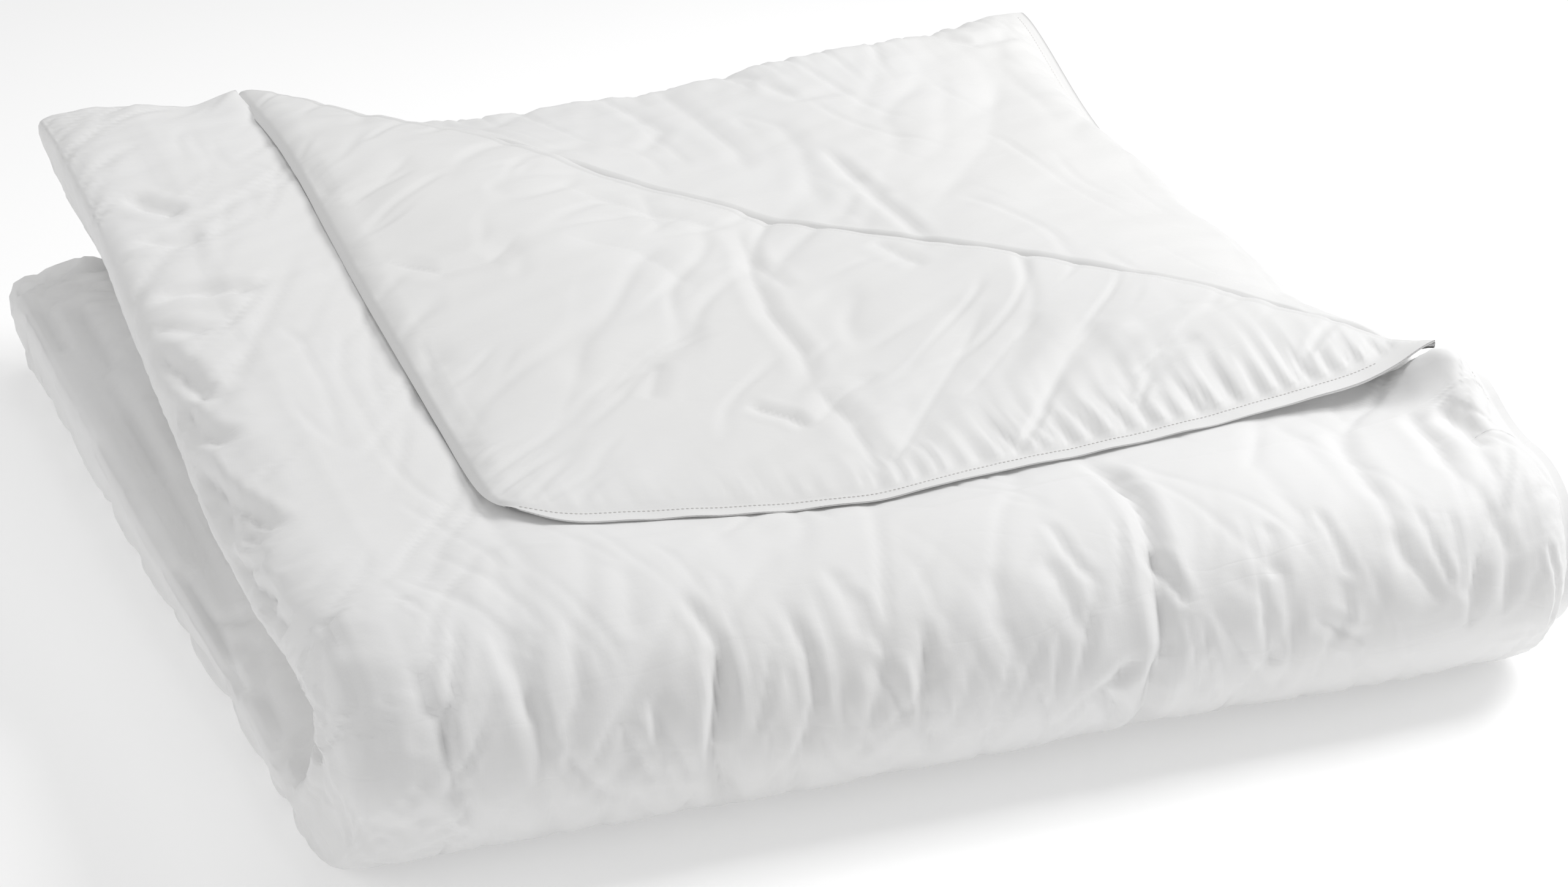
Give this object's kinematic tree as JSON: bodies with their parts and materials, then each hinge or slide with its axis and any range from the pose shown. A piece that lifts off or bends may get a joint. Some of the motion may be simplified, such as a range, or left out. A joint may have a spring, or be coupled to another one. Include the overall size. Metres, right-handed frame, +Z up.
{
  "type": "folded duvet",
  "caption": "White filled duvet folded in quarters, the top corner turned back to show the reverse, with a stitched flange along its closing edge.",
  "frame": {"origin": "centre of the underside of the folded bundle, on the surface it lies on", "axes": "+X to the right along the front fold, +Y from the front fold to the open back edges, +Z up"},
  "size_m": [1.1324, 1.141, 0.2913],
  "materials": {
    "face_percale": "fine plain weave, soft satin sheen",
    "reverse_percale": "fine plain weave, soft satin sheen",
    "filling": "lofty fibre batt",
    "thread": "twisted sewing thread"
  },
  "bodies": {
    "lower_half": {"base_ply_cover": "face_percale", "base_ply_fill": "filling", "third_ply_cover": "face_percale", "third_ply_fill": "filling", "lower_side_fold_cover": "face_percale", "lower_side_fold_fill": "filling", "front_fold_outer_cover": "face_percale", "front_fold_outer_fill": "filling", "front_fold_inner_cover": "face_percale", "front_fold_inner_fill": "filling", "base_ply_hem": "face_percale", "base_ply_hem_stitching": "thread", "third_ply_hem": "face_percale", "third_ply_hem_stitching": "thread"},
    "upper_half": {"second_ply_cover": "reverse_percale", "second_ply_fill": "filling", "top_ply_cover": "face_percale", "top_ply_fill": "filling", "upper_side_fold_cover": "face_percale", "upper_side_fold_fill": "filling", "second_ply_hem": "face_percale", "second_ply_hem_stitching": "thread", "top_ply_hem": "face_percale", "top_ply_hem_stitching": "thread", "corner_fold_cover": "reverse_percale", "corner_fold_fill": "filling"},
    "corner_flap": {"corner_flap_cover": "reverse_percale", "corner_flap_fill": "filling", "corner_flap_hem": "reverse_percale", "corner_flap_hem_stitching": "thread"}
  },
  "joints": [
    {"name": "front_fold", "type": "hinge", "parent": "lower_half", "child": "upper_half", "pos_m": [0, -0.4645, 0.106], "axis": [1, 0, 0], "range_deg": [0, 75], "deforming": ["front_fold_outer_cover", "front_fold_outer_fill", "front_fold_inner_cover", "front_fold_inner_fill"]},
    {"name": "corner_fold", "type": "hinge", "parent": "upper_half", "child": "corner_flap", "pos_m": [-0.34115, 0.51354, 0.27394], "axis": [-0.7112, 0.7017, 0.0437], "range_deg": [0, 135], "deforming": ["corner_fold_cover", "corner_fold_fill"]}
  ]
}
